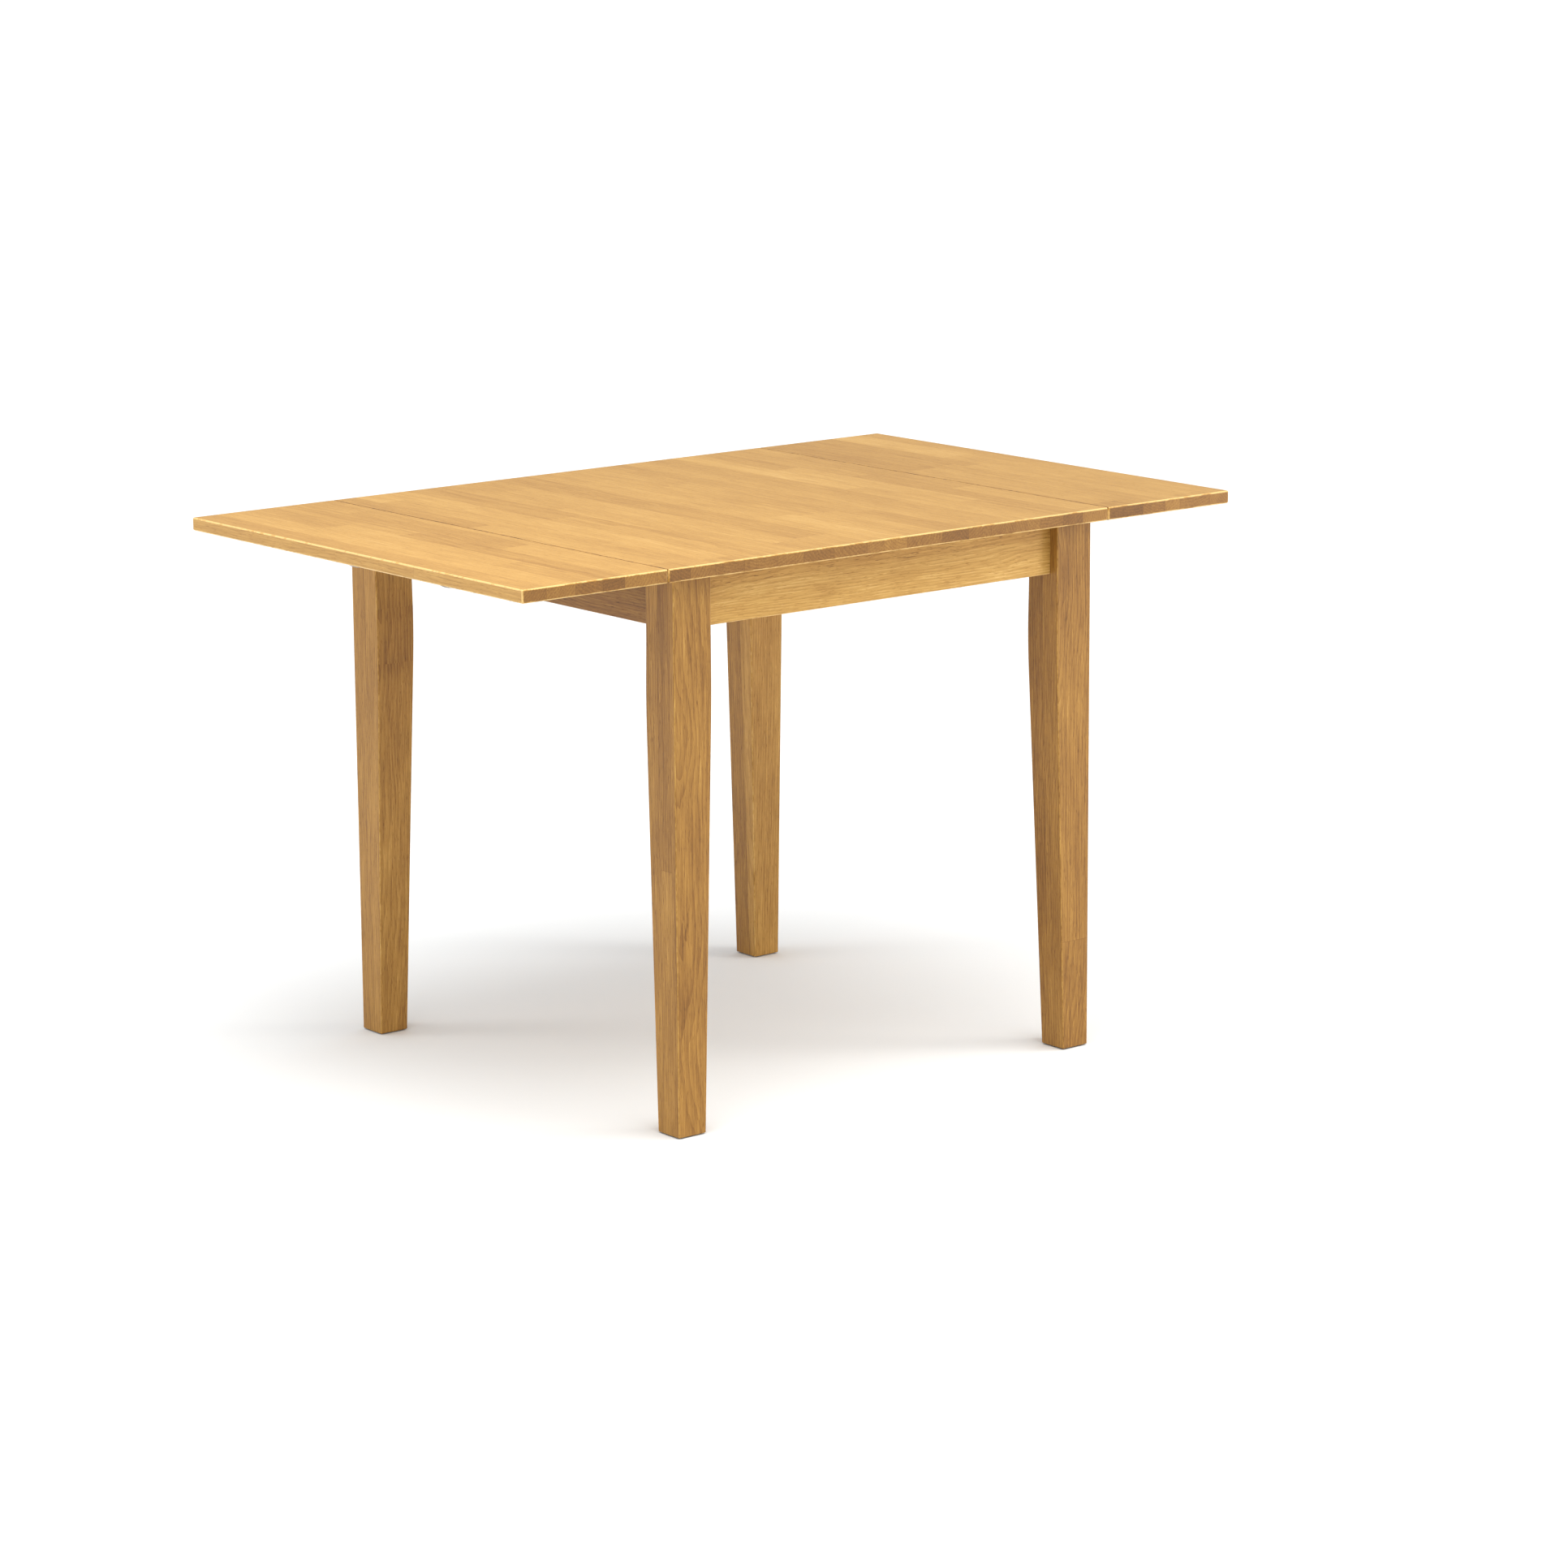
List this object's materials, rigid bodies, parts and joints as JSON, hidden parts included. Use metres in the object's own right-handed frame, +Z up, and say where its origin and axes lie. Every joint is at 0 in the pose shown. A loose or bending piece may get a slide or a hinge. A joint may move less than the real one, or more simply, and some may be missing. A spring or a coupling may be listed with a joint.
{
  "type": "drop leaf table",
  "caption": "Rectangular wooden dinette table with tapered legs, an apron frame and hinged end leaves that fold down beside the legs on slotted steel stays.",
  "frame": {"origin": "on the floor, under the middle of the top", "axes": "+X along the length with both leaves up, -Y the front long side, +Z up out of the top"},
  "size_m": [1.22, 0.76, 0.76],
  "materials": {
    "table_top_wood": "honey oak stained edge-glued rubberwood under a semi-gloss clear coat",
    "leg_wood": "honey oak stained rubberwood, satin",
    "apron_wood": "honey oak stained rubberwood, satin",
    "block_wood": "bare rubberwood",
    "dowel_wood": "bare beech",
    "glide_plastic": "brown nylon",
    "hinge_steel": "brass-toned zinc plated steel",
    "stay_steel": "zinc plated steel",
    "fastener_steel": "zinc plated steel"
  },
  "bodies": {
    "table_frame": {"centre_panel": "table_top_wood", "front_apron": "apron_wood", "back_apron": "apron_wood", "left_apron": "apron_wood", "right_apron": "apron_wood", "front_left_leg": "leg_wood", "front_right_leg": "leg_wood", "back_left_leg": "leg_wood", "back_right_leg": "leg_wood", "front_left_corner_block": "block_wood", "front_right_corner_block": "block_wood", "back_left_corner_block": "block_wood", "back_right_corner_block": "block_wood", "leg_glides": "glide_plastic", "apron_dowels": "dowel_wood", "hanger_bolts": "fastener_steel", "hanger_washers": "fastener_steel", "hanger_nuts": "fastener_steel", "corner_block_screws": "fastener_steel", "top_screws": "fastener_steel", "top_clips": "fastener_steel", "hinge_pins": "hinge_steel", "centre_hinge_screws": "fastener_steel", "stay_pivots": "stay_steel", "stay_plate_screws": "fastener_steel", "left_front_hinge_top_flap": "hinge_steel", "left_middle_hinge_top_flap": "hinge_steel", "left_back_hinge_top_flap": "hinge_steel", "right_front_hinge_top_flap": "hinge_steel", "right_middle_hinge_top_flap": "hinge_steel", "right_back_hinge_top_flap": "hinge_steel", "front_left_stay_plate": "stay_steel", "front_right_stay_plate": "stay_steel", "back_left_stay_plate": "stay_steel", "back_right_stay_plate": "stay_steel"},
    "left_leaf": {"left_leaf": "table_top_wood", "left_front_hinge_leaf_flap": "hinge_steel", "left_middle_hinge_leaf_flap": "hinge_steel", "left_back_hinge_leaf_flap": "hinge_steel", "left_leaf_hinge_screws": "fastener_steel", "left_leaf_track_screws": "fastener_steel", "front_left_stay_track": "stay_steel", "back_left_stay_track": "stay_steel"},
    "right_leaf": {"right_leaf": "table_top_wood", "right_front_hinge_leaf_flap": "hinge_steel", "right_middle_hinge_leaf_flap": "hinge_steel", "right_back_hinge_leaf_flap": "hinge_steel", "right_leaf_hinge_screws": "fastener_steel", "right_leaf_track_screws": "fastener_steel", "front_right_stay_track": "stay_steel", "back_right_stay_track": "stay_steel"},
    "front_left_stay_arm": {"front_left_stay_arm": "stay_steel", "front_left_stay_stud": "stay_steel"},
    "back_left_stay_arm": {"back_left_stay_arm": "stay_steel", "back_left_stay_stud": "stay_steel"},
    "front_right_stay_arm": {"front_right_stay_arm": "stay_steel", "front_right_stay_stud": "stay_steel"},
    "back_right_stay_arm": {"back_right_stay_arm": "stay_steel", "back_right_stay_stud": "stay_steel"}
  },
  "joints": [
    {"name": "left_leaf_fold", "type": "hinge", "parent": "table_frame", "child": "left_leaf", "pos_m": [-0.3805, 0, 0.7385], "axis": [0, -1, 0], "range_deg": [0, 90]},
    {"name": "front_left_stay_swing", "type": "hinge", "parent": "table_frame", "child": "front_left_stay_arm", "pos_m": [-0.36, -0.105, 0.705], "axis": [0, -1, 0], "range_deg": [0, 95.91]},
    {"name": "back_left_stay_swing", "type": "hinge", "parent": "table_frame", "child": "back_left_stay_arm", "pos_m": [-0.36, 0.105, 0.705], "axis": [0, -1, 0], "range_deg": [0, 95.91]},
    {"name": "right_leaf_fold", "type": "hinge", "parent": "table_frame", "child": "right_leaf", "pos_m": [0.3805, 0, 0.7385], "axis": [0, 1, 0], "range_deg": [0, 90]},
    {"name": "front_right_stay_swing", "type": "hinge", "parent": "table_frame", "child": "front_right_stay_arm", "pos_m": [0.36, -0.105, 0.705], "axis": [0, 1, 0], "range_deg": [0, 95.91]},
    {"name": "back_right_stay_swing", "type": "hinge", "parent": "table_frame", "child": "back_right_stay_arm", "pos_m": [0.36, 0.105, 0.705], "axis": [0, 1, 0], "range_deg": [0, 95.91]}
  ],
  "couplings": [
    {"joint": "front_left_stay_swing", "follows": "left_leaf_fold", "ratio": 1.0655},
    {"joint": "back_left_stay_swing", "follows": "left_leaf_fold", "ratio": 1.0655},
    {"joint": "front_right_stay_swing", "follows": "right_leaf_fold", "ratio": 1.0655},
    {"joint": "back_right_stay_swing", "follows": "right_leaf_fold", "ratio": 1.0655}
  ]
}
